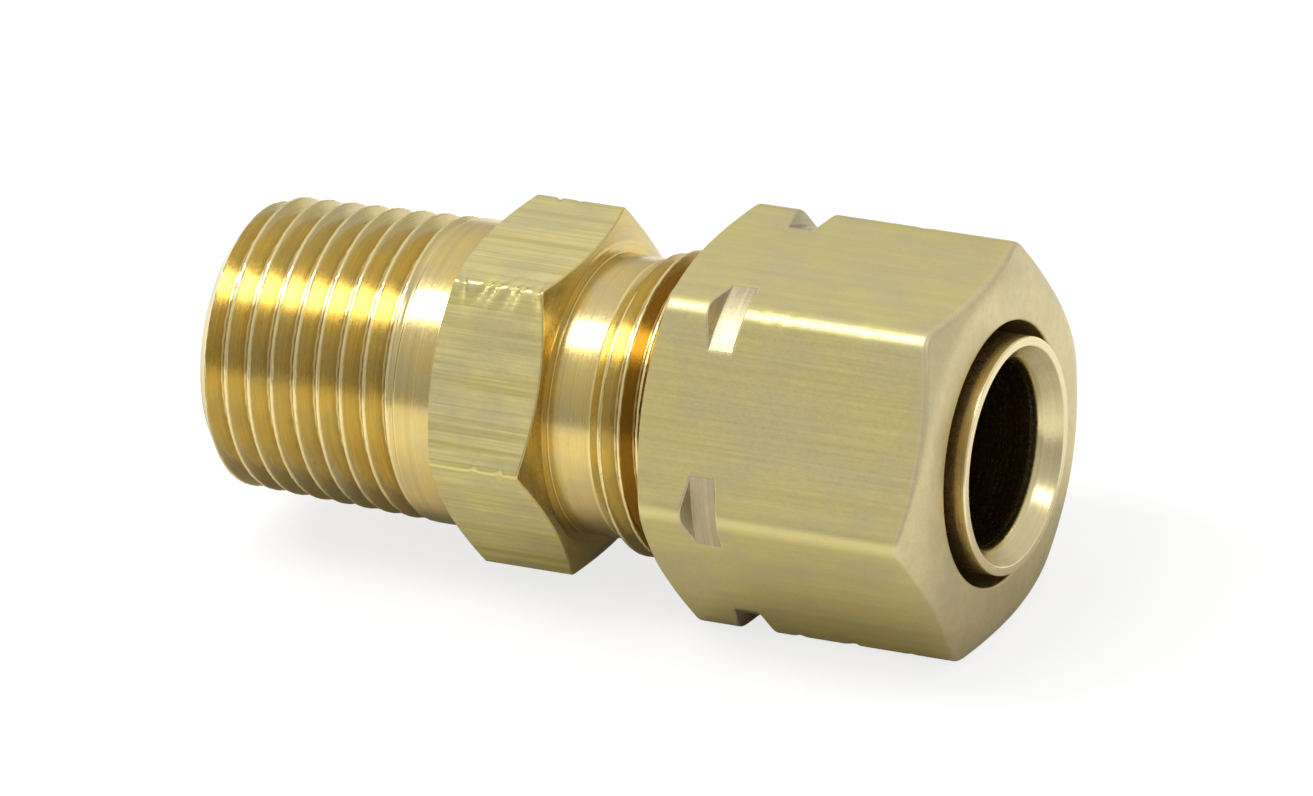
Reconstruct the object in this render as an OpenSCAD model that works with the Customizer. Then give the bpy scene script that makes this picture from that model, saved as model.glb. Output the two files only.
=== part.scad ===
// Compression fitting: a male connector, a tapered sleeve and a loose hexagon nut on one axis.
// The axis is +X, from the end face of the pipe thread (x = 0) to the tail of the sleeve.
// Hexagon flats face up and down (+Z and -Z). Millimetres.

/* [Pipe thread] */
// Pitch of the tapered pipe thread
pipe_pitch = 1.8143; // [1.2:0.01:2.4]
// Crest diameter at the end face
pipe_crest_d = 20.3; // [18:0.1:21]
// Length of the threaded stretch
pipe_thread_len = 15.9; // [10:0.1:24]
// Diameter gained for each millimetre of length
pipe_taper = 0.0625; // [0:0.0025:0.07]

/* [Connector body] */
// Diameter of the smooth collar behind the pipe thread
collar_d = 21.3; // [20:0.1:22]
// Length of the smooth collar
collar_len = 2.9; // [1:0.1:6]
// Size across the flats of the body hexagon
body_hex_af = 22.225; // [21.6:0.1:27]
// Length of the body hexagon
body_hex_len = 8.5; // [6:0.1:20]
// Radius of the long corners of the body hexagon
body_hex_round = 0.4; // [0.3:0.1:2]
// How far the plain neck lies below the crests of the nut thread
neck_drop = 0.95; // [0.9:0.05:2]
// Length of the plain neck
neck_len = 3.6; // [1:0.1:8]
// Width of the plain face between the neck and the chamfer of the body hexagon
neck_face = 0.85; // [0.2:0.05:1]
// Width of the thread relief groove after the neck
relief_len = 0.6; // [0.3:0.1:3]
// Depth of the thread relief groove below the neck
relief_depth = 0.45; // [0.1:0.05:0.8]
// Width of the shoulder that stops the tube, between socket and flow passage
stop_width = 0.975; // [0.5:0.025:3]
// Depth of the tube socket before the seat
socket_depth = 5.5; // [2:0.1:8]

/* [Nut thread] */
// Pitch of the straight thread that nut and body share
nut_pitch = 1.411; // [1:0.01:1.5]
// Length of the male thread on the body
male_thread_len = 13; // [9:0.1:16]
// Gap on the radius between male and female thread
thread_clearance = 0.18; // [0.14:0.01:0.25]

/* [Seat] */
// Angle of the conical seat to the axis
seat_angle = 20; // [15:1:35]
// Width of the rim left between the seat and the thread's root at the end face
seat_rim = 1.02; // [0.9:0.02:1.5]

/* [Nut] */
// Size across the flats of the nut
nut_af = 25.4; // [25:0.1:32]
// Overall length of the nut
nut_len = 21.4; // [19.5:0.1:32]
// Radius of the long corners of the nut
nut_round = 1.6; // [0.3:0.1:2]
// Gap between the body hexagon and the nut as assembled
nut_standoff = 8.3; // [6.5:0.1:10.1]
// Share of its size across the flats that the nut's outer face keeps inside the chamfer
nut_face_share = 0.94; // [0.86:0.01:0.985]
// Length of the threaded stretch in the nut
female_thread_len = 10.6; // [8:0.1:12]
// Gap on the radius between the nut's mouth and the sleeve's tail
mouth_gap = 0.95; // [0.2:0.05:1.3]
// Length of the nut mouth, from the outer face to the shoulder cone
nut_mouth_len = 5.8; // [2:0.1:7]
// Distance from the inner face to the middle of the corner groove
groove_from_face = 5.3; // [3.5:0.1:12]
// Depth of the groove below a sharp corner of the hexagon
groove_depth = 1.265; // [0.6:0.005:1.6]
// Width of the corner groove at its bottom
groove_w = 1.8; // [0.8:0.1:3]

/* [Sleeve] */
// Outer diameter of the tube that the fitting joins
tube_d = 12.7; // [10:0.1:12.9]
// Gap on the radius between the tube and its bore
tube_clearance = 0.125; // [0.06:0.005:0.3]
// Wall of the sleeve's tail around the tube bore
tail_wall = 1.75; // [0.9:0.025:1.8]
// How far the tail stands out of the nut
tail_out = 1.1; // [0.3:0.1:4]
// Thickness of the tail's rim
tail_lip = 0.6; // [0.3:0.05:0.8]
// Angle to the axis of the lead-in cone in the tail
lead_in_angle = 40; // [12:1:50]
// How far the sleeve's shoulder stands out past the nut's mouth
shoulder_step = 0.525; // [0.4:0.025:1]
// Gap on the radius that lets the shoulder pass through the nut's thread
shoulder_pass = 0.2; // [0.1:0.05:0.5]
// Length of the cylindrical part of the shoulder
shoulder_len = 2.4; // [1:0.1:3]
// Wall of the sleeve at the tip of its nose
nose_wall = 0.675; // [0.5:0.025:0.9]
// Angle of the nose cone to the axis
nose_angle = 12; // [8:1:14]
// Axial play left between nose and seat when the nut is fully tight
nose_gap = 0.3; // [0.15:0.05:1]
// Turns from the assembled position to fully tight
tighten_turns = 1.5; // [0.5:0.25:2]
// Gap between the shoulders of sleeve and nut
shoulder_gap = 0.05; // [0.03:0.01:0.1]

/* [Hidden] */
$fn = 96;

// Facets of each turn of a thread
thread_sides = 32;
// Share of a pitch that is flat at a crest or a root
thread_flat = 0.1;
// Steps in the arc of a rounded hexagon corner
corner_steps = 6;
// Angle between a hexagon's end chamfer and its end face
hex_chamfer = 24;
// Share of a hexagon's size across the flats that its inner end faces keep inside the chamfer
face_circle = 0.985;
// How far a thread's blank runs on inside the piece beside it
lap = 0.3;
// Small bevel on turned edges
bevel = 0.25;
// Room that a cut takes beyond the surface that it cuts
over = 1;
// Bevel on both ends of a straight thread
thread_bevel = 0.8;

// A thread's depth follows from a 60 degree form with flats at crest and root.
function thread_depth(pitch) = pitch * (0.5 - thread_flat) / tan(30);

x_collar = pipe_thread_len;
x_body_hex = x_collar + collar_len;
x_neck = x_body_hex + body_hex_len;
x_relief = x_neck + neck_len;
x_male = x_relief + relief_len;
x_body_end = x_male + male_thread_len;
x_nut = x_neck + nut_standoff;
x_nut_end = x_nut + nut_len;
x_tail = x_nut_end + tail_out;

// The radii follow from the tube outwards: bore, tail, mouth, shoulder, nut thread, neck.
tube_bore_r = tube_d / 2 + tube_clearance;
flow_r = tube_bore_r - stop_width;
nose_r = tube_bore_r + nose_wall;
tail_r = tube_bore_r + tail_wall;
mouth_r = tail_r + mouth_gap;
shoulder_r = mouth_r + shoulder_step;
female_crest_r = shoulder_r + shoulder_pass;
female_root_r = female_crest_r + thread_depth(nut_pitch);
nut_relief_r = female_root_r + 0.1;
male_crest_r = female_root_r - thread_clearance;
male_root_r = male_crest_r - thread_depth(nut_pitch);
neck_r = male_crest_r - neck_drop;
seat_mouth_r = male_root_r - seat_rim;

seat_len = (seat_mouth_r - tube_bore_r) / tan(seat_angle);
x_seat = x_body_end - seat_len;
x_socket = x_seat - socket_depth;
tighten_travel = tighten_turns * nut_pitch;
x_nose = x_seat + nose_wall / tan(seat_angle) + nose_gap + tighten_travel;

x_mouth = x_nut_end - nut_mouth_len;
// The 45 degree shoulders of nut and sleeve face each other across shoulder_gap.
x_shoulder_back = x_mouth - (shoulder_r - mouth_r) - shoulder_gap * sqrt(2);
x_shoulder_front = x_shoulder_back - shoulder_len;
x_nut_relief = x_nut + female_thread_len;

// Both straight threads start a whole number of turns apart, so they mesh as assembled.
x_male_helix = x_male - 1.8 * nut_pitch;
x_female_helix = x_male_helix + nut_pitch * floor((x_nut - nut_pitch - x_male_helix) / nut_pitch);

// Outline of a hexagon with rounded corners, two flats square to the second axis.
function hex_outline(af, round) = [
    for (corner = [0:5])
        for (step = [0:corner_steps])
            let (a = 60 * corner - 30 + 60 * step / corner_steps, c = (af / 2 - round) / cos(30))
                [c * cos(60 * corner) + round * cos(a), c * sin(60 * corner) + round * sin(a)]
];

// Turns a profile of [distance along the axis, radius] points about the X axis.
module turned(profile) {
    rotate([0, 90, 0])
        rotate_extrude()
            polygon([for (p = profile) [p[1], p[0]]]);
}

// Hexagon bar along X from x0 to x1.
module hex_bar(af, round, x0, x1) {
    translate([x0, 0, 0])
        rotate([90, 0, 90])
            linear_extrude(x1 - x0)
                polygon(hex_outline(af, round));
}

// One closed helical solid. It has full thread from x0 + pitch to x0 + turns * pitch.
// The rows follow the right-hand helix, with four rows to a pitch: root, flank, crest, flank.
module screw(x0, pitch, turns, crest_r, depth, slope) {
    n = thread_sides;
    last = n * turns;
    offsets = [thread_flat / 2, 0.5 - thread_flat / 2, 0.5 + thread_flat / 2, 1 - thread_flat / 2];
    drops = [depth, 0, 0, depth];
    function at(i, k) =
        let (x = x0 + pitch * (i / n + offsets[k]), r = crest_r + slope * x - drops[k])
            [x, r * cos(360 * i / n), r * sin(360 * i / n)];
    function id(i, k) = i <= last ? 4 * i + k : 4 * last + 3 + i - last;
    function above(i, k) = k < 3 ? id(i, k + 1) : id(i + n, 0);
    points = [
        for (i = [0:last], k = [0:3]) at(i, k),
        for (i = [last + 1:last + n]) at(i, 0),
        [x0, 0, 0],
        [x0 + pitch * (turns + 1), 0, 0]
    ];
    start_apex = 4 * (last + 1) + n;
    end_apex = start_apex + 1;
    faces = [
        for (i = [0:last - 1], k = [0:3]) each [
            [id(i, k), above(i, k), id(i + 1, k)],
            [above(i, k), above(i + 1, k), id(i + 1, k)]
        ],
        for (i = [0:n - 1]) each [
            [start_apex, id(i, 0), id(i + 1, 0)],
            [end_apex, id(last + i + 1, 0), id(last + i, 0)]
        ],
        for (k = [0:3]) each [
            [start_apex, above(0, k), id(0, k)],
            [end_apex, id(last, k), above(last, k)]
        ]
    ];
    polyhedron(points, faces);
}

// Tapered pipe thread, bevelled at its open end and cut down to the collar's size behind.
module pipe_thread() {
    start_bevel = 1;
    small_r = pipe_crest_d / 2 - thread_depth(pipe_pitch);
    top_r = collar_d / 2 - 0.02;
    intersection() {
        screw(-1.5 * pipe_pitch, pipe_pitch, ceil(pipe_thread_len / pipe_pitch) + 3,
              pipe_crest_d / 2, thread_depth(pipe_pitch), pipe_taper / 2);
        turned([[0, 0], [0, small_r], [start_bevel * 1.4, top_r],
                [x_collar + lap, top_r], [x_collar + lap, 0]]);
    }
}

// Straight male thread for the nut, bevelled at both ends.
module male_thread() {
    low_r = male_crest_r - thread_bevel;
    intersection() {
        screw(x_male_helix, nut_pitch, ceil(male_thread_len / nut_pitch) + 4,
              male_crest_r, thread_depth(nut_pitch), 0);
        turned([[x_male - lap, 0], [x_male - lap, low_r - 0.2], [x_male, low_r],
                [x_male + thread_bevel * 0.6, male_crest_r + over],
                [x_body_end - thread_bevel - over, male_crest_r + over],
                [x_body_end, low_r], [x_body_end, 0]]);
    }
}

module connector_body() {
    back_r = body_hex_af / 2 * face_circle;
    front_r = min(neck_r + neck_face, back_r);
    corner_r = body_hex_af / 2 / cos(30);
    back_run = (corner_r - back_r) * tan(hex_chamfer);
    front_run = (corner_r - front_r) * tan(hex_chamfer);
    relief_r = neck_r - relief_depth;
    color("#c9a64e")
    difference() {
        union() {
            pipe_thread();
            turned([[x_collar, 0], [x_collar, collar_d / 2], [x_body_hex + lap, collar_d / 2],
                    [x_body_hex + lap, 0]]);
            intersection() {
                hex_bar(body_hex_af, body_hex_round, x_body_hex, x_neck);
                turned([[x_body_hex, 0], [x_body_hex, back_r],
                        [x_body_hex + back_run, corner_r], [x_neck - front_run, corner_r],
                        [x_neck, front_r], [x_neck, 0]]);
            }
            turned([[x_neck - lap, 0], [x_neck - lap, neck_r], [x_relief - relief_depth, neck_r],
                    [x_relief, relief_r], [x_male + lap, relief_r], [x_male + lap, 0]]);
            male_thread();
        }
        turned([[-over, 0], [-over, flow_r], [x_socket, flow_r], [x_socket, tube_bore_r],
                [x_seat, tube_bore_r],
                [x_body_end + over, seat_mouth_r + over * tan(seat_angle)],
                [x_body_end + over, 0]]);
    }
}

module compression_sleeve() {
    lip_r = tail_r - tail_lip;
    lead_in = (lip_r - tube_bore_r) / tan(lead_in_angle);
    nose_len = x_shoulder_front - x_nose;
    cone_top_r = min(nose_r + nose_len * tan(nose_angle), shoulder_r - bevel);
    color("#c2a057")
    turned([[x_nose, tube_bore_r + bevel], [x_nose, nose_r],
            [x_shoulder_front, cone_top_r],
            [x_shoulder_front, shoulder_r - bevel], [x_shoulder_front + bevel, shoulder_r],
            [x_shoulder_back, shoulder_r],
            [x_shoulder_back + shoulder_r - tail_r, tail_r],
            [x_tail - bevel / 2, tail_r], [x_tail, tail_r - bevel / 2],
            [x_tail, lip_r], [x_tail - lead_in, tube_bore_r],
            [x_nose + bevel, tube_bore_r]]);
}

module compression_nut() {
    inner_r = nut_af / 2 * face_circle;
    outer_r = nut_af / 2 * nut_face_share;
    corner_r = nut_af / 2 / cos(30);
    inner_run = (corner_r - inner_r) * tan(hex_chamfer);
    outer_run = (corner_r - outer_r) * tan(hex_chamfer);
    x_groove = x_nut + groove_from_face;
    groove_r = corner_r - groove_depth;
    groove_slant = 0.45;
    groove_rise = corner_r + over - groove_r;
    entry_r = female_root_r + 0.3;
    color("#bfa65e")
    difference() {
        intersection() {
            hex_bar(nut_af, nut_round, x_nut, x_nut_end);
            turned([[x_nut, 0], [x_nut, inner_r], [x_nut + inner_run, corner_r],
                    [x_nut_end - outer_run, corner_r], [x_nut_end, outer_r], [x_nut_end, 0]]);
        }
        turned([[x_groove - groove_w / 2, groove_r], [x_groove + groove_w / 2, groove_r],
                [x_groove + groove_w / 2 + groove_rise * groove_slant, groove_r + groove_rise],
                [x_groove - groove_w / 2 - groove_rise * groove_slant, groove_r + groove_rise]]);
        screw(x_female_helix, nut_pitch, ceil((x_nut_relief - x_female_helix) / nut_pitch),
              female_root_r, thread_depth(nut_pitch), 0);
        turned([[x_nut - over, 0], [x_nut - over, entry_r + over], [x_nut, entry_r],
                [x_nut + entry_r - female_crest_r + 0.1, female_crest_r - 0.1],
                [x_nut + entry_r - female_crest_r + 0.1, 0]]);
        turned([[x_nut_relief, 0], [x_nut_relief, nut_relief_r],
                [x_mouth - (nut_relief_r - mouth_r), nut_relief_r], [x_mouth, mouth_r],
                [x_nut_end - bevel / 2, mouth_r], [x_nut_end + over, mouth_r + bevel / 2 + over],
                [x_nut_end + over, 0]]);
    }
}

connector_body();
compression_sleeve();
compression_nut();
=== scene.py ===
"""Finished surfaces of the brass compression fitting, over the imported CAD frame.

Each piece is one closed grid of rings round the X axis. A ring is one point of the piece's section,
and its radius may change with the angle, which gives the hexagons, scallops, notches and threads.
Sizes are in millimetres until the mesh is made; the frame itself is in metres.
"""
import math

import bpy
import numpy as np
from mathutils import Matrix, Vector


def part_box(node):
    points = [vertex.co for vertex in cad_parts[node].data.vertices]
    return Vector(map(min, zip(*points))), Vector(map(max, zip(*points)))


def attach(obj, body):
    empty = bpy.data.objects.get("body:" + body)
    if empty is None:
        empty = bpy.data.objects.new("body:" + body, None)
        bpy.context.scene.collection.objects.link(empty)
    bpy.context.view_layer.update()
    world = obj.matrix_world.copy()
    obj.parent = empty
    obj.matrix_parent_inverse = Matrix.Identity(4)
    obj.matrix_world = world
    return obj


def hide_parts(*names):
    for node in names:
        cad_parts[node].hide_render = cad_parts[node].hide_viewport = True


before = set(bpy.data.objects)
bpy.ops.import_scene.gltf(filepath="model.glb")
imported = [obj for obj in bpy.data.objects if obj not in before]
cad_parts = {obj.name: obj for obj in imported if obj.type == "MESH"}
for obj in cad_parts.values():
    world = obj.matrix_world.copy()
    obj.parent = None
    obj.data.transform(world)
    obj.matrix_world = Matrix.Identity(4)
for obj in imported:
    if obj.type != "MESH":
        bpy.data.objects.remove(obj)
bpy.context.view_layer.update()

MM = 0.001
HEX_SECTOR = math.pi / 3
HALF_SECTOR = math.pi / 6
TURN = 2 * math.pi

# How worn a surface is, with painted shade at its low end: from 0, painted shade dark in a corner
# or groove, to 1, rubbed bright. Below BROWN_BELOW the painted shade turns it brown, and DULL is a
# touch of that painted shade, for bores and the sleeve's tail inside the nut.
PLAIN = 0.5
DULL = 0.4
BROWN_BELOW = 0.42
BRIGHT_ABOVE = 0.72

# ---------------------------------------------------------------- sizes, as in the CAD model

PIPE_PITCH = 1.8143
PIPE_CREST_R = 10.15
PIPE_SLOPE = 0.03125
PIPE_THREAD_LEN = 15.9
COLLAR_R = 10.65
COLLAR_LEN = 2.9
BODY_HEX_AF = 22.225
BODY_HEX_LEN = 8.5
BODY_HEX_ROUND = 0.4
NECK_R = 9.7476
NECK_LEN = 3.6
NECK_FACE = 0.85
RELIEF_LEN = 0.6
RELIEF_DEPTH = 0.45
FLOW_R = 5.5
SOCKET_DEPTH = 5.5
SEAT_ANGLE = math.radians(20)
SEAT_MOUTH_R = 8.7

NUT_PITCH = 1.411
MALE_CREST_R = 10.6976
THREAD_CLEARANCE = 0.18
THREAD_BEVEL = 0.8
THREAD_FLAT = 0.1

NUT_AF = 25.4
NUT_ROUND = 1.6
FACE_CIRCLE = 0.985
NUT_FACE_SHARE = 0.94
HEX_CHAMFER = math.radians(24)
FEMALE_THREAD_LEN = 10.6
NUT_RELIEF = 0.1
NUT_ENTRY = 0.3
MOUTH_R = 9.175
MOUTH_LEN = 5.8
GROOVE_FROM_FACE = 5.3
GROOVE_R = 13.4
GROOVE_W = 1.8
GROOVE_SLANT = 0.45

BORE_R = 6.475
TAIL_R = 8.225
TAIL_LIP = 0.6
LEAD_IN_ANGLE = math.radians(40)
SHOULDER_R = 9.7
SHOULDER_LEN = 2.4
SHOULDER_GAP = 0.05
NOSE_R = 7.15
NOSE_ANGLE = math.radians(12)
BEVEL = 0.25

# ---------------------------------------------------------------- detail that only the looks have

EDGE = 0.1  # how far an ordinary machined edge is rounded
APART = 0.02  # keeps two rings from meeting
FILLET_STEPS = (0, 0.2, 0.4, 0.6, 0.8, 1.0)
SHARP_FROM = math.radians(38)
BURR = 0.035  # how ragged the crest of a thread is
PIPE_RINGS = 44  # rings for each pitch of a thread
MALE_RINGS = 40
HIDDEN_RINGS = 14
FLAT_STEPS = 44  # steps along a hexagon's flat
SLEEVE_COLUMNS = 240
PIPE_BEVEL_LEN = 1.4
SHADED_TURN = 2.55  # the turn of the male thread from which its groove is painted dark, a painted shade by the nut
FLAT_MARGIN = 0.15  # from a chamfer or the groove to the first ring of a flat
FACE_MARGIN = 0.5  # from the last ring of the nut's flats to its outer chamfer
FRONT_CORNER = 2  # the body's corner between its top flat and its front upper flat
# The place of each nick along that corner from 0 to 1, and its slant.
FRONT_NICKS = ((0.08, 0.4), (0.36, -0.7), (0.47, -0.7), (0.66, -0.6), (0.76, -0.7), (0.95, 0.3))
FRONT_NICK_SIZE = (0.25, 1.0, 0.26)  # length, width and depth


def span(node):
    """Where a CAD node starts and ends along the axis, in millimetres."""
    low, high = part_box(node)
    return low[0] / MM, high[0] / MM


BODY_START, BODY_END = span("connector_body")
NUT_START, NUT_END = span("compression_nut")
SLEEVE_START, SLEEVE_END = span("compression_sleeve")

X_COLLAR = BODY_START + PIPE_THREAD_LEN
X_HEX = X_COLLAR + COLLAR_LEN
X_NECK = X_HEX + BODY_HEX_LEN
X_RELIEF = X_NECK + NECK_LEN
X_MALE = X_RELIEF + RELIEF_LEN
X_MOUTH = NUT_END - MOUTH_LEN
# Where each helix starts, which settles what its crests look like in any one place.
PIPE_HELIX = BODY_START - 1.5 * PIPE_PITCH
NUT_HELIX = X_MALE - 1.8 * NUT_PITCH


# ---------------------------------------------------------------- rings and sections


def flat_edge(af, rounding):
    """Angle from the middle of a flat to where its rounded corner begins."""
    return math.atan((af / 2 - rounding) * math.tan(math.radians(30)) / (af / 2))


def hex_angles(af, rounding, extra=()):
    """Column angles for one turn: even steps over each flat, close steps round each corner."""
    tangent = flat_edge(af, rounding)
    flat = set(np.round(np.linspace(-tangent, tangent, 35), 6))
    for angle in extra:
        flat |= {round(angle, 6), round(-angle, 6)}
    arc = np.linspace(tangent, HEX_SECTOR - tangent, 11)[1:-1]
    sector = sorted(flat) + list(arc)
    return np.array([math.radians(30) + k * math.pi / 3 + a for k in range(6) for a in sector])


def hex_radius(angles, af, rounding):
    """Distance from the axis to a hexagon with rounded corners, flats facing up and down."""
    folded = np.abs((angles - math.radians(30) + HALF_SECTOR) % HEX_SECTOR - HALF_SECTOR)
    centre = (af / 2 - rounding) / math.cos(math.radians(30))
    off = math.radians(30) - folded
    inside = np.maximum(rounding**2 - (centre * np.sin(off)) ** 2, 0)
    rounded = centre * np.cos(off) + np.sqrt(inside)
    return np.where(folded <= flat_edge(af, rounding), af / 2 / np.cos(folded), rounded)


def thread_depth(pitch):
    """Depth of a 60 degree thread with flats at its crests and roots."""
    return pitch * (0.5 - THREAD_FLAT) / math.tan(math.radians(30))


def thread_height(x, angles, start, pitch):
    """0 at a root to 1 at a crest, along a right-hand helix that starts at the given place."""
    phase = ((x - start) / pitch - angles / TURN) % 1.0
    away = np.abs(phase - 0.5)
    return 1 - np.clip((away - THREAD_FLAT / 2) / (0.5 - THREAD_FLAT), 0, 1)


class Section:
    """The closed outline of a piece, as rings in order.

    The rings go towards +X over the outside of the piece and come back through its bore.
    """

    def __init__(self, angles):
        self.angles = angles
        self.corners = []
        self.grain = np.random.default_rng(7)

    def to(self, x, r, finish, fillet=0.0, wear_and_shade=PLAIN, parts=1, edge=1.0, only=None):
        """Adds a corner. finish, wear and parts belong to the surface that runs on from it. wear is
        one
        value for painted shade and rubbing: low is painted shade in a hollow, high is brass rubbed
        bright.

        edge is that value for the corner itself. only is (columns, finish elsewhere): outside those
        columns the corner leaves no trace on the surface.
        """
        ones = np.ones_like(self.angles)
        points = np.stack([x * ones, r * ones], axis=1)
        self.corners.append((points, finish, fillet, wear_and_shade, parts, edge, only))

    def rings(self):
        """Every ring as (points, finish, wear), the last for rubbing and painted shade, with the
        corners rounded.
        """
        out = []
        count = len(self.corners)
        for i, (here, finish, fillet, wear_and_shade, parts, edge, only) in enumerate(self.corners):
            before, after = self.corners[i - 1][0], self.corners[(i + 1) % count][0]
            if only:
                columns, elsewhere = only
                finish = (finish, columns & np.roll(columns, -1), elsewhere)
                wear_and_shade, edge = np.where(columns, wear_and_shade, PLAIN), np.where(columns, edge, PLAIN)
            if fillet:
                start = self.toward(here, before, fillet)
                end = self.toward(here, after, fillet)
                for t in FILLET_STEPS:
                    point = (1 - t) ** 2 * start + 2 * t * (1 - t) * here + t * t * end
                    out.append((point, finish, edge if 0 < t < 1 else (edge + wear_and_shade) / 2))
            else:
                end = here
                out.append((here, finish, wear_and_shade))
            if parts > 1:
                next_fillet = self.corners[(i + 1) % count][2]
                stop = self.toward(after, here, next_fillet) if next_fillet else after
                for t in self.spread(parts):
                    out.append((end + (stop - end) * t, finish, wear_and_shade))
        return out

    @staticmethod
    def toward(point, other, distance):
        """The place that far from one ring to another, and never past the middle between them."""
        largest_share, least_length = 0.42, 1e-6
        step = other - point
        length = np.maximum(np.linalg.norm(step, axis=1, keepdims=True), least_length)
        reach = np.minimum(distance, largest_share * length)
        return point + step / length * reach

    @staticmethod
    def spread(parts):
        """Shares of a surface's length: even, with one more ring close to each end."""
        margin = 0.03
        even = [k / parts for k in range(1, parts)]
        return [margin] + even + [1 - margin]


def build(name, section, finishes):
    """Makes the mesh of a section, with a material for each finish and its wear value, for rubbing
    and painted shade, as an attribute.
    """
    rings = section.rings()
    cols = len(section.angles)
    rows = len(rings)
    points = np.stack([p for p, _, _ in rings])
    x, r = points[..., 0] * MM, points[..., 1] * MM
    angles = section.angles[None, :]
    verts = np.stack([x, r * np.cos(angles), r * np.sin(angles)], axis=-1).reshape(-1, 3)
    row = np.arange(rows)[:, None]
    col = np.arange(cols)[None, :]
    row_next, col_next = (row + 1) % rows, (col + 1) % cols
    quads = np.stack([row * cols + col, row * cols + col_next,
                      row_next * cols + col_next, row_next * cols + col], axis=-1).reshape(-1, 4)
    mesh = bpy.data.meshes.new(name)
    mesh.from_pydata(verts.tolist(), [], quads.tolist())
    names = list(finishes)
    for key in names:
        mesh.materials.append(finishes[key])

    def slots(finish):
        if isinstance(finish, str):
            return np.full(cols, names.index(finish))
        inside, columns, outside = finish
        return np.where(columns, names.index(inside), names.index(outside))

    mesh.polygons.foreach_set("material_index", np.concatenate([slots(f) for _, f, _ in rings]))
    wear_and_shade = np.stack([np.broadcast_to(w, (cols,)) for _, _, w in rings]).reshape(-1)
    colour = np.stack([wear_and_shade, wear_and_shade, wear_and_shade, np.ones_like(wear_and_shade)], axis=-1).astype(np.float32)
    layer = mesh.color_attributes.new("wear_and_shade", "FLOAT_COLOR", "POINT")
    layer.data.foreach_set("color", colour.reshape(-1))
    mesh.polygons.foreach_set("use_smooth", np.ones(len(quads), dtype=bool))
    mesh.set_sharp_from_angle(angle=SHARP_FROM)
    mesh.update()
    obj = bpy.data.objects.new(name, mesh)
    bpy.context.scene.collection.objects.link(obj)
    return obj


# ---------------------------------------------------------------- materials

# Noise scales along each axis, in cycles per metre.
DRAWN_FINE = (90.0, 5200.0, 5200.0)
DRAWN_BROAD = (30.0, 1300.0, 1300.0)
TURNED_FINE = (9000.0, 9000.0, 1.0)
TURNED_BROAD = (2300.0, 2300.0, 1.0)
MOTTLE = (3200.0, 3200.0, 3200.0)
CLOUD = (260.0, 330.0, 330.0)
SCRATCH = (900.0, 260.0, 420.0)
SCRATCH_DEPTH = 0.00001

# How far each effect goes where it is strongest.
MOST_CLOUD = 0.45
MOST_RUBBED = 0.75

# The floor: its colour to the camera, its colour as mirrored near the fitting, darkened there as a
# painted shadow of the fitting, and far from it, the distances in metres between which that
# changes, and how much of it glows and how brightly.
PAPER = (0.85, 0.85, 0.85)
MIRRORED_SHADOW_NEAR = (0.66, 0.64, 0.60)
MIRRORED_FAR = (0.92, 0.91, 0.88)
NEAR, FAR = 0.012, 0.034
GLOW_SHARE = 0.72
GLOW_LEVEL = 1.06
# Where that painted shadow is centred along the axis, and how far it is stretched along it.
FLOOR_MIDDLE_X = 0.03
FLOOR_SQUEEZE = 0.4
WHITE = (1.0, 1.0, 1.0, 1.0)


def node(tree, kind, inputs=None, **settings):
    """Adds a shader node. An input is a value, or an output socket to link."""
    made = tree.nodes.new(kind)
    for key, value in settings.items():
        setattr(made, key, value)
    for key, value in (inputs or {}).items():
        if isinstance(value, bpy.types.NodeSocket):
            tree.links.new(value, made.inputs[key])
        else:
            made.inputs[key].default_value = value
    return made


def turned_coordinates(tree, position):
    """(place along the axis, distance from it, 0), on which lathe marks are straight lines."""
    split = node(tree, "ShaderNodeSeparateXYZ", {0: position})
    flat = node(tree, "ShaderNodeCombineXYZ", {1: split.outputs[1], 2: split.outputs[2]})
    radius = node(tree, "ShaderNodeVectorMath", {0: flat.outputs[0]}, operation="LENGTH")
    return node(tree, "ShaderNodeCombineXYZ", {0: split.outputs[0], 1: radius.outputs["Value"]})


def noise(tree, vector, scale, detail=3.0, rough=0.55):
    """Noise over a vector stretched by a scale for each axis."""
    stretched = node(tree, "ShaderNodeVectorMath", {0: vector, 1: scale}, operation="MULTIPLY")
    made = node(tree, "ShaderNodeTexNoise",
                {"Vector": stretched.outputs[0], "Scale": 1.0, "Detail": detail,
                 "Roughness": rough})
    return made.outputs["Fac"]


def blend_colour(tree, factor, low, high):
    """A colour between two, by a factor socket."""
    mix = node(tree, "ShaderNodeMix", data_type="RGBA")
    tree.links.new(factor, mix.inputs[0])
    for socket, value in ((mix.inputs[6], low), (mix.inputs[7], high)):
        if isinstance(value, bpy.types.NodeSocket):
            tree.links.new(value, socket)
        else:
            socket.default_value = (*value, 1.0)
    return mix.outputs[2]


def ramp(tree, factor, low, high, bottom=0.0, top=1.0):
    """Maps a factor from the range low..high to bottom..top, and holds it there."""
    made = node(tree, "ShaderNodeMapRange",
                {"Value": factor, "From Min": low, "From Max": high,
                 "To Min": bottom, "To Max": top})
    return made.outputs["Result"]


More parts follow.
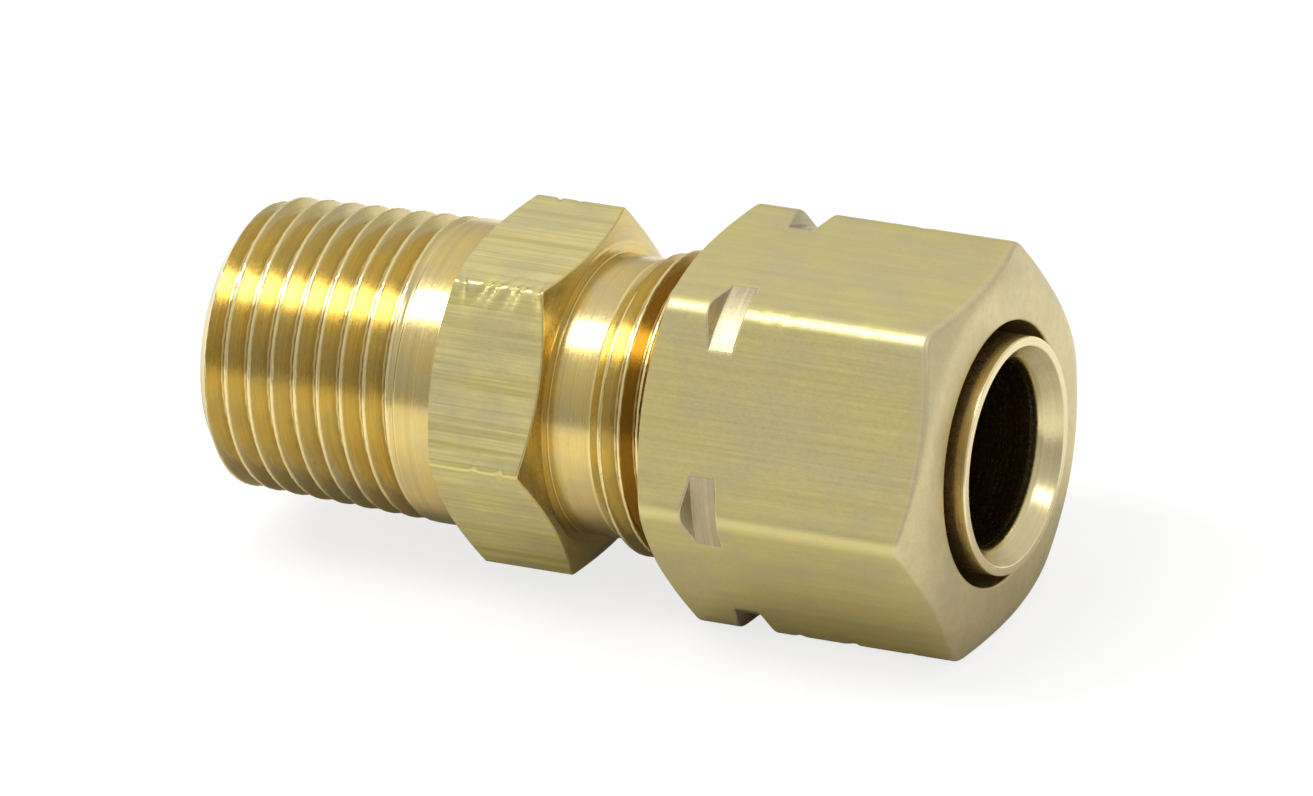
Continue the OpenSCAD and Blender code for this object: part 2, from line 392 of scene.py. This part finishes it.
def brass(name, light, dark, rough, marks, lines, grain, pits=0.15, hollow_shade=0.35, streaks=0.22):
    """Brass with the marks of how it was made.

    marks is "drawn" for streaks along the bar or "turned" for rings left by the lathe. lines is the
    depth of those marks and grain the depth of the fine mottle, both in metres. pits is how dark
    the pits in the mottle are, tarnish how far hollows go to a painted brown shade, and streaks how
    soft the marks are.
    """
    material = bpy.data.materials.new(name)
    material.use_nodes = True
    tree = material.node_tree
    tree.nodes.clear()
    where = node(tree, "ShaderNodeTexCoord").outputs["Object"]
    if marks == "drawn":
        fine = noise(tree, where, DRAWN_FINE, 4.0)
        broad = noise(tree, where, DRAWN_BROAD, 2.0)
    else:
        rings = turned_coordinates(tree, where).outputs[0]
        fine = noise(tree, rings, TURNED_FINE, 3.0)
        broad = noise(tree, rings, TURNED_BROAD, 2.0)
    mottle = noise(tree, where, MOTTLE, 5.0, 0.65)
    cloud = noise(tree, where, CLOUD, 3.0)
    scratch = noise(tree, where, SCRATCH, 2.0, 0.4)
    wear_and_shade = node(tree, "ShaderNodeAttribute", attribute_name="wear_and_shade").outputs["Fac"]

    streak = node(tree, "ShaderNodeMath", {0: fine, 1: broad}, operation="ADD")
    tone = ramp(tree, streak.outputs[0], 1.0 - streaks, 1.0 + streaks)
    colour = blend_colour(tree, tone, dark, light)
    grey = 0.9 * (dark[0] + dark[1]) / 2
    dull = (grey, grey * 0.92, grey * 0.58)
    colour = blend_colour(tree, ramp(tree, cloud, 0.60, 0.38, 0.0, MOST_CLOUD), colour, dull)
    pitted = tuple(0.55 * c for c in dark)
    colour = blend_colour(tree, ramp(tree, mottle, 0.60, 0.74, 0.0, pits), colour, pitted)
    # Painted shade: low values of the wear attribute turn the brass brown, in hollows and grooves.
    brown = (0.62 * dark[0], 0.52 * dark[1], 0.34 * dark[2])
    shaded = ramp(tree, wear_and_shade, BROWN_BELOW, 0.0, 0.0, hollow_shade)
    colour = blend_colour(tree, shaded, colour, brown)
    rubbed = tuple(min(1.0, 1.1 * c + 0.06) for c in light)
    brightened = ramp(tree, wear_and_shade, BRIGHT_ABOVE, 1.0, 0.0, MOST_RUBBED)
    colour = blend_colour(tree, brightened, colour, rubbed)

    dulled_by_mottle = ramp(tree, mottle, 0.3, 0.7, -0.04, 0.06)
    dulled_by_marks = ramp(tree, fine, 0.3, 0.7, rough - 0.03, rough + 0.04)
    gloss = node(tree, "ShaderNodeMath", {0: dulled_by_mottle, 1: dulled_by_marks},
                 operation="ADD")
    relief = node(tree, "ShaderNodeBump",
                  {"Height": streak.outputs[0], "Distance": lines, "Strength": 1.0})
    relief = node(tree, "ShaderNodeBump",
                  {"Height": mottle, "Distance": grain, "Strength": 1.0,
                   "Normal": relief.outputs[0]})
    relief = node(tree, "ShaderNodeBump",
                  {"Height": ramp(tree, scratch, 0.70, 0.76), "Distance": SCRATCH_DEPTH,
                   "Strength": 0.6, "Normal": relief.outputs[0]}, invert=True)
    shader = node(tree, "ShaderNodeBsdfPrincipled",
                  {"Base Color": colour, "Metallic": 1.0, "Roughness": gloss.outputs[0],
                   "Normal": relief.outputs[0]})
    node(tree, "ShaderNodeOutputMaterial", {"Surface": shader.outputs[0]})
    return material


def floor_material():
    """White paper: a faint shadow to the camera, and, where the brass mirrors it, a soft grey that
    darkens round the fitting as a painted shadow.
    """
    material = bpy.data.materials.new("floor_paper")
    material.use_nodes = True
    tree = material.node_tree
    tree.nodes.clear()
    seen = node(tree, "ShaderNodeLightPath").outputs["Is Camera Ray"]
    place = node(tree, "ShaderNodeNewGeometry").outputs["Position"]
    offset = node(tree, "ShaderNodeVectorMath", {0: place, 1: (-FLOOR_MIDDLE_X, 0.0, 0.0)},
                  operation="ADD")
    shrunk = node(tree, "ShaderNodeVectorMath",
                  {0: offset.outputs[0], 1: (FLOOR_SQUEEZE, 1.0, 0.0)}, operation="MULTIPLY")
    away = node(tree, "ShaderNodeVectorMath", {0: shrunk.outputs[0]}, operation="LENGTH")
    # Painted shadow: the mirrored paper is darker near the fitting.
    mirrored = blend_colour(tree, ramp(tree, away.outputs["Value"], NEAR, FAR),
                            MIRRORED_SHADOW_NEAR, MIRRORED_FAR)
    paper = blend_colour(tree, seen, mirrored, PAPER)
    diffuse = node(tree, "ShaderNodeBsdfDiffuse", {"Color": paper})
    glow = node(tree, "ShaderNodeEmission", {"Color": WHITE, "Strength": GLOW_LEVEL})
    lift = node(tree, "ShaderNodeMath", {0: seen, 1: GLOW_SHARE}, operation="MULTIPLY")
    surface = node(tree, "ShaderNodeMixShader",
                   {0: lift.outputs[0], 1: diffuse.outputs[0], 2: glow.outputs[0]})
    node(tree, "ShaderNodeOutputMaterial", {"Surface": surface.outputs[0]})
    return material


TURNED = brass("turned_brass", light=(0.74, 0.58, 0.22), dark=(0.65, 0.48, 0.15), rough=0.20,
               marks="turned", lines=3e-6, grain=5e-7)
# The threads take the full painted brown shade in their roots, the relief groove and near the nut.
THREAD = brass("threaded_brass", light=(0.75, 0.61, 0.27), dark=(0.66, 0.51, 0.20), rough=0.18,
               marks="turned", lines=3e-6, grain=1e-6, hollow_shade=1.0)
BODY_FLAT = brass("drawn_body_flat", light=(0.82, 0.72, 0.32), dark=(0.66, 0.56, 0.20), rough=0.36,
                  marks="drawn", lines=1.2e-5, grain=3e-6, streaks=0.18)
NUT_FLAT = brass("drawn_nut_flat", light=(0.69, 0.60, 0.26), dark=(0.64, 0.545, 0.22), rough=0.40,
                 marks="drawn", lines=1.5e-6, grain=8e-6, pits=0.3)
NUT_FACE = brass("faced_brass", light=(0.71, 0.62, 0.37), dark=(0.66, 0.56, 0.31), rough=0.42,
                 marks="drawn", lines=1e-6, grain=7e-6, pits=0.3)
NOTCH = brass("notched_brass", light=(0.52, 0.44, 0.28), dark=(0.42, 0.35, 0.21), rough=0.38,
              marks="turned", lines=4e-6, grain=8e-6)
SLEEVE_OUT = brass("sleeve_brass", light=(0.66, 0.50, 0.22), dark=(0.54, 0.39, 0.14), rough=0.28,
                   marks="turned", lines=4e-6, grain=1e-6)
LEAD_IN = brass("lead_in_brass", light=(0.80, 0.68, 0.40), dark=(0.70, 0.57, 0.29), rough=0.22,
                marks="turned", lines=4e-6, grain=1e-6)
MOUTH = brass("mouth_brass", light=(0.72, 0.56, 0.28), dark=(0.60, 0.45, 0.20), rough=0.42,
              marks="turned", lines=4e-6, grain=1e-6)
# Painted shade: the bores are a darker brass than the outside, for the shade inside them.
BORE_SHADED = brass("bored_brass_shaded", light=(0.50, 0.36, 0.13), dark=(0.34, 0.23, 0.07), rough=0.22,
             marks="turned", lines=1.4e-5, grain=1e-6)


# ---------------------------------------------------------------- the connector body


def add_thread(section, x0, x1, helix, pitch, crest, cap, rings_per_pitch, fade=None,
               shaded_from=None):
    """Adds close rings of an outer thread from x0 to x1, with burrs along its crest.

    crest and cap give the crest's radius and the largest radius at each place. fade gives the share
    of the thread's depth there. From the turn shaded_from on, the groove is painted dark brown as
    painted shade.
    """
    burr_from, burr_span = 0.96, 0.04
    # Painted shade darkens the roots of a thread; its crests are rubbed bright.
    root_shade, flank_wear, crest_wear = 0.32, 0.28, 0.4
    shade_level, shade_top = 0.04, 0.9
    depth = thread_depth(pitch)
    count = max(2, int(round(abs(x1 - x0) / pitch * rings_per_pitch)))
    for x in np.linspace(x0, x1, count):
        height = thread_height(x, section.angles, helix, pitch)
        share = 1.0 if fade is None else fade(x)
        crested = np.clip((height - burr_from) / burr_span, 0, 1)
        burrs = BURR * crested * section.grain.random(len(height))
        r = crest(x) - depth * share * (1 - height) - burrs
        r = np.minimum(r, cap(x))
        wear_and_shade = root_shade + flank_wear * height + crest_wear * crested
        # Painted shade: from that turn on, the grooves near the nut are painted dark.
        if shaded_from is not None:
            turn = (x - helix) / pitch - section.angles / TURN
            wear_and_shade = np.where((turn > shaded_from) & (height < shade_top), shade_level, wear_and_shade)
        section.to(x, r, "thread", wear_and_shade=wear_and_shade)


def add_nicked_flats(section, x0, x1, hexagon, af, nicks):
    """Adds the rings of a hexagon's flats, with small dents along its corners.

    Each nick is (corner number, place along the flat from 0 to 1, length, width, depth, slant).
    """
    for k in range(1, FLAT_STEPS):
        t = k / FLAT_STEPS
        x = x0 + (x1 - x0) * t
        r = hexagon.copy()
        for corner, place, length, width, depth, slant in nicks:
            off = section.angles - math.radians(60 * corner)
            nearest = (off + math.pi) % TURN - math.pi
            across = nearest * af / 2 / math.cos(math.radians(30))
            along = (t - place) * float(np.mean(x1 - x0)) - slant * across
            r = r - depth * np.exp(-((along / length) ** 2) - (across / width) ** 2)
        section.to(x, r, "flat")


def random_nicks(seed, count):
    """Nicks at random places on a hexagon's corners, the same on every run."""
    rng = np.random.default_rng(seed)
    corners = list(range(6))
    return [(int(rng.choice(corners)), rng.uniform(0.05, 0.95), rng.uniform(0.12, 0.3),
             rng.uniform(0.3, 0.8), rng.uniform(0.05, 0.16), rng.uniform(-0.8, 0.8))
            for _ in range(count)]


def connector_body():
    """The body: pipe thread, collar, hexagon, neck, nut thread, seat, socket and passage."""
    angles = hex_angles(BODY_HEX_AF, BODY_HEX_ROUND)
    hexagon = hex_radius(angles, BODY_HEX_AF, BODY_HEX_ROUND)
    back_r = BODY_HEX_AF / 2 * FACE_CIRCLE
    front_r = NECK_R + NECK_FACE
    section = Section(angles)

    start_r = PIPE_CREST_R - thread_depth(PIPE_PITCH)
    top_r = COLLAR_R - APART
    section.to(BODY_START, FLOW_R, "turned", fillet=0.2, parts=4)

    def pipe_cap(x):
        along = (x - BODY_START) / PIPE_BEVEL_LEN
        return min(start_r + (top_r - start_r) * along, top_r)

    def pipe_crest(x):
        return PIPE_CREST_R + PIPE_SLOPE * (x - BODY_START)

    def run_out(x):
        return min(1.0, max(0.0, (X_COLLAR - x) / (0.6 * PIPE_PITCH))) ** 0.6

    add_thread(section, BODY_START, X_COLLAR - APART, PIPE_HELIX, PIPE_PITCH, pipe_crest, pipe_cap,
               PIPE_RINGS, fade=run_out)
    section.to(X_COLLAR, COLLAR_R, "turned", fillet=EDGE, parts=3)

    back_run = (hexagon - back_r) * math.tan(HEX_CHAMFER)
    front_run = (hexagon - front_r) * math.tan(HEX_CHAMFER)
    # Painted shade in the inner corner where the collar meets the hexagon.
    section.to(X_HEX, COLLAR_R, "turned", fillet=EDGE, edge=0.3)
    section.to(X_HEX, back_r, "turned", fillet=0.06, edge=PLAIN)
    section.to(X_HEX + back_run, hexagon, "flat", fillet=EDGE, edge=0.7)
    front_nicks = [(FRONT_CORNER, place, *FRONT_NICK_SIZE, slant) for place, slant in FRONT_NICKS]
    nicks = random_nicks(11, 16) + front_nicks
    add_nicked_flats(section, X_HEX + back_run + FLAT_MARGIN, X_NECK - front_run - FLAT_MARGIN,
                     hexagon, BODY_HEX_AF, nicks)
    section.to(X_NECK - front_run, hexagon, "turned", fillet=EDGE, edge=0.6, parts=2)
    section.to(X_NECK, front_r, "turned", fillet=EDGE, edge=PLAIN, parts=2)
    section.to(X_NECK, NECK_R, "turned", fillet=EDGE, edge=0.55, parts=6)
    section.to(X_RELIEF - RELIEF_DEPTH, NECK_R, "turned", fillet=EDGE, parts=2)
    # Painted shade darkens the relief groove.
    section.to(X_RELIEF, NECK_R - RELIEF_DEPTH, "thread", fillet=0.08, wear_and_shade=0.3)
    section.to(X_MALE, NECK_R - RELIEF_DEPTH, "thread", wear_and_shade=0.3)

    low_r = MALE_CREST_R - THREAD_BEVEL

    def male_cap(x):
        entry = low_r + (x - X_MALE) * (THREAD_BEVEL + 1) / (THREAD_BEVEL * 0.6)
        exit_r = low_r + (BODY_END - x)
        return min(entry, exit_r, MALE_CREST_R)

    def male_crest(_):
        return MALE_CREST_R

    shown = NUT_START + 4 * NUT_PITCH
    add_thread(section, X_MALE + APART, shown, NUT_HELIX, NUT_PITCH, male_crest, male_cap,
               MALE_RINGS, shaded_from=SHADED_TURN)
    add_thread(section, shown + 4 * APART, BODY_END, NUT_HELIX, NUT_PITCH, male_crest, male_cap,
               HIDDEN_RINGS)

    seat_len = (SEAT_MOUTH_R - BORE_R) / math.tan(SEAT_ANGLE)
    x_seat = BODY_END - seat_len
    x_socket = x_seat - SOCKET_DEPTH
    section.to(BODY_END, SEAT_MOUTH_R, "bore", fillet=EDGE, parts=4)
    section.to(x_seat, BORE_R, "bore", wear_and_shade=0.45, parts=3)
    section.to(x_socket, BORE_R, "bore", wear_and_shade=DULL)
    section.to(x_socket, FLOW_R, "bore", wear_and_shade=DULL, parts=8)
    body = build("connector_body_brass", section,
                 {"turned": TURNED, "thread": THREAD, "flat": BODY_FLAT, "bore": BORE_SHADED})
    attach(body, "body")
    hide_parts("connector_body")
    return body


# ---------------------------------------------------------------- the nut


def compression_nut():
    """The nut: chamfered hexagon with its corner groove, mouth, relief and inner thread."""
    groove_edge = math.acos(NUT_AF / 2 / GROOVE_R)
    angles = hex_angles(NUT_AF, NUT_ROUND, extra=(groove_edge,))
    hexagon = hex_radius(angles, NUT_AF, NUT_ROUND)
    inner_r, outer_r = NUT_AF / 2 * FACE_CIRCLE, NUT_AF / 2 * NUT_FACE_SHARE
    inner_run = (hexagon - inner_r) * math.tan(HEX_CHAMFER)
    outer_run = (hexagon - outer_r) * math.tan(HEX_CHAMFER)
    root_r = MALE_CREST_R + THREAD_CLEARANCE
    crest_r = root_r - thread_depth(NUT_PITCH)
    relief_r = root_r + NUT_RELIEF
    entry_r = root_r + NUT_ENTRY
    section = Section(angles)

    section.to(NUT_START, entry_r, "face", fillet=EDGE, parts=2)
    section.to(NUT_START, inner_r, "face", fillet=EDGE, parts=2)
    section.to(NUT_START + inner_run, hexagon, "flat", fillet=0.15, edge=0.8, parts=5)
    middle = NUT_START + GROOVE_FROM_FACE
    bite = np.maximum(hexagon - GROOVE_R, 0)
    slant = 0.03 + bite * GROOVE_SLANT
    floor_r = np.minimum(hexagon, GROOVE_R)
    cut = (hexagon > GROOVE_R - 0.001, "flat")
    section.to(middle - GROOVE_W / 2 - slant, hexagon, "notch", fillet=EDGE, parts=2, only=cut)
    # Painted shade in the two inner corners of the notch floor.
    section.to(middle - GROOVE_W / 2, floor_r, "notch", fillet=0.06, edge=0.3, parts=3, only=cut)
    section.to(middle + GROOVE_W / 2, floor_r, "notch", fillet=0.06, edge=0.2, parts=2, only=cut)
    section.to(middle + GROOVE_W / 2 + slant, hexagon, "flat", fillet=EDGE, only=cut)
    add_nicked_flats(section, middle + GROOVE_W / 2 + slant + FLAT_MARGIN,
                     NUT_END - outer_run - FACE_MARGIN, hexagon, NUT_AF, random_nicks(5, 10))
    section.to(NUT_END - outer_run, hexagon, "face", fillet=0.4, edge=0.36, parts=3)
    section.to(NUT_END, outer_r, "face", fillet=0.7, edge=PLAIN, parts=5)
    section.to(NUT_END, MOUTH_R, "mouth", fillet=0.2, edge=0.6, parts=6)
    x_thread = NUT_START + FEMALE_THREAD_LEN
    section.to(X_MOUTH, MOUTH_R, "bore", wear_and_shade=DULL)
    section.to(X_MOUTH - (relief_r - MOUTH_R), relief_r, "bore", wear_and_shade=DULL, parts=2)
    section.to(x_thread, relief_r, "bore", wear_and_shade=DULL)
    entry_end = NUT_START + entry_r - crest_r
    depth = thread_depth(NUT_PITCH)
    count = int((x_thread - NUT_START) / NUT_PITCH * HIDDEN_RINGS)
    for x in np.linspace(x_thread - 0.05, NUT_START + 0.1, count):
        height = thread_height(x, angles, NUT_HELIX, NUT_PITCH)
        r = root_r - depth * (1 - height)
        if x < entry_end:
            r = np.maximum(r, entry_r - (x - NUT_START))
        # Painted shade in the roots of the inner thread.
        section.to(x, r, "bore", wear_and_shade=0.15 + 0.5 * (1 - height))
    nut = build("compression_nut_brass", section,
                {"flat": NUT_FLAT, "face": NUT_FACE, "notch": NOTCH, "mouth": MOUTH, "bore": BORE_SHADED})
    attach(nut, "nut")
    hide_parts("compression_nut")
    return nut


# ---------------------------------------------------------------- the sleeve


def compression_sleeve():
    """The sleeve: nose, shoulder and a thin tail with a lead-in cone at its rim."""
    angles = np.linspace(0, TURN, SLEEVE_COLUMNS, endpoint=False)
    section = Section(angles)
    lip_r = TAIL_R - TAIL_LIP
    lead_in = (lip_r - BORE_R) / math.tan(LEAD_IN_ANGLE)
    x_back = X_MOUTH - (SHOULDER_R - MOUTH_R) - SHOULDER_GAP * math.sqrt(2)
    x_front = x_back - SHOULDER_LEN
    cone_r = NOSE_R + (x_front - SLEEVE_START) * math.tan(NOSE_ANGLE)

    section.to(SLEEVE_END, lip_r, "lead", fillet=0.08, parts=6)
    section.to(SLEEVE_END - lead_in, BORE_R, "lead", fillet=0.4, edge=PLAIN)
    section.to(SLEEVE_END - lead_in - 0.7, BORE_R, "bore", wear_and_shade=DULL, parts=20)
    section.to(SLEEVE_START + BEVEL, BORE_R, "bore", fillet=0.05)
    section.to(SLEEVE_START, BORE_R + BEVEL, "outside", fillet=0.05)
    section.to(SLEEVE_START, NOSE_R, "outside", fillet=0.08, parts=6)
    section.to(x_front, cone_r, "outside", fillet=EDGE, parts=2)
    section.to(x_front, SHOULDER_R, "outside", fillet=0.25, parts=4)
    section.to(x_back, SHOULDER_R, "outside", fillet=EDGE, parts=3)
    section.to(x_back + SHOULDER_R - TAIL_R, TAIL_R, "outside", fillet=0.15, wear_and_shade=DULL, parts=8)
    section.to(SLEEVE_END, TAIL_R, "lead", fillet=0.14, wear_and_shade=0.9, parts=2)
    sleeve = build("compression_sleeve_brass", section,
                   {"outside": SLEEVE_OUT, "lead": LEAD_IN, "bore": BORE_SHADED})
    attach(sleeve, "sleeve")
    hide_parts("compression_sleeve")
    return sleeve


# ---------------------------------------------------------------- stage, light and camera

FLOOR_REACH = 4.0

# How bright the mirrored surroundings are from the horizon up, and how that changes front to back.
WALL_LOW, WALL_HIGH = 0.44, 0.80
WALL_FRONT, WALL_BACK = 0.94, 1.25

LIGHT_TARGET = Vector((0.03, 0, 0))
LIGHT_DISTANCE = 0.7
LIGHT_RADIANCE = 7.0

CAMERA_RIGHT = Vector((0.8944, 0.4380, -0.0903))
CAMERA_TOWARD = Vector((0.4249, -0.7693, 0.4769))
CAMERA_DISTANCE = 1.0
SEEN_WIDTH = 0.0901  # width of the picture at the target, in metres
SENSOR_WIDTH = 36.0
CAMERA_TARGET_X = 0.03075
CAMERA_LIFT = 0.00015


def floor():
    """The pale floor, at the height of the nut's lowest flat."""
    low, high = -FLOOR_REACH, FLOOR_REACH
    z = -NUT_AF / 2 * MM
    mesh = bpy.data.meshes.new("floor")
    mesh.from_pydata([(low, low, z), (high, low, z), (high, high, z), (low, high, z)],
                     [], [(0, 1, 2, 3)])
    mesh.materials.append(floor_material())
    obj = bpy.data.objects.new("floor", mesh)
    bpy.context.scene.collection.objects.link(obj)


def studio():
    """Pale surroundings, white to the camera and softer where the brass mirrors them."""
    world = bpy.data.worlds.new("studio")
    bpy.context.scene.world = world
    world.use_nodes = True
    tree = world.node_tree
    tree.nodes.clear()
    direction = node(tree, "ShaderNodeTexCoord").outputs["Generated"]
    split = node(tree, "ShaderNodeSeparateXYZ", {0: direction})
    by_height = ramp(tree, split.outputs[2], 0.0, 0.9, WALL_LOW, WALL_HIGH)
    by_depth = ramp(tree, split.outputs[1], -0.5, 0.8, WALL_FRONT, WALL_BACK)
    wall = node(tree, "ShaderNodeMath", {0: by_height, 1: by_depth}, operation="MULTIPLY")
    seen = node(tree, "ShaderNodeLightPath").outputs["Is Camera Ray"]
    level = node(tree, "ShaderNodeMix", data_type="FLOAT")
    tree.links.new(seen, level.inputs[0])
    tree.links.new(wall.outputs[0], level.inputs[2])
    level.inputs[3].default_value = 1.0
    background = node(tree, "ShaderNodeBackground",
                      {"Color": WHITE, "Strength": level.outputs[0]})
    node(tree, "ShaderNodeOutputWorld", {"Surface": background.outputs[0]})


def softbox(name, direction, width, depth):
    """A soft light in that direction from the fitting, facing it."""
    data = bpy.data.lights.new(name, "AREA")
    data.shape = "RECTANGLE"
    data.size, data.size_y = width, depth
    data.energy = LIGHT_RADIANCE * math.pi * width * depth
    obj = bpy.data.objects.new(name, data)
    back = Vector(direction).normalized()
    obj.location = LIGHT_TARGET + back * LIGHT_DISTANCE
    side = Vector((1, 0, 0)) - back * back.x
    side.normalize()
    up = back.cross(side)
    obj.rotation_mode = "QUATERNION"
    obj.rotation_quaternion = Matrix((side, up, back)).transposed().to_quaternion()
    bpy.context.scene.collection.objects.link(obj)


def camera():
    """A long lens in front and above, on the nut's side, the axis running down to the right."""
    right = CAMERA_RIGHT.normalized()
    toward = CAMERA_TOWARD.normalized()
    up = toward.cross(right).normalized()
    right = up.cross(toward)
    data = bpy.data.cameras.new("camera")
    data.sensor_width = SENSOR_WIDTH
    data.lens = data.sensor_width * CAMERA_DISTANCE / SEEN_WIDTH
    data.clip_start, data.clip_end = 0.01, 50.0
    obj = bpy.data.objects.new("camera", data)
    target = Vector((CAMERA_TARGET_X, 0, 0)) + up * CAMERA_LIFT
    obj.location = target + toward * CAMERA_DISTANCE
    obj.rotation_mode = "QUATERNION"
    obj.rotation_quaternion = Matrix((right, up, toward)).transposed().to_quaternion()
    bpy.context.scene.collection.objects.link(obj)
    bpy.context.scene.camera = obj


connector_body()
compression_nut()
compression_sleeve()
floor()
studio()
softbox("key", (-0.425, -0.218, 0.877), 0.55, 0.24)
softbox("fill", (0.765, -0.11, 0.635), 0.13, 0.10)
camera()
bpy.context.scene.view_settings.view_transform = "Standard"
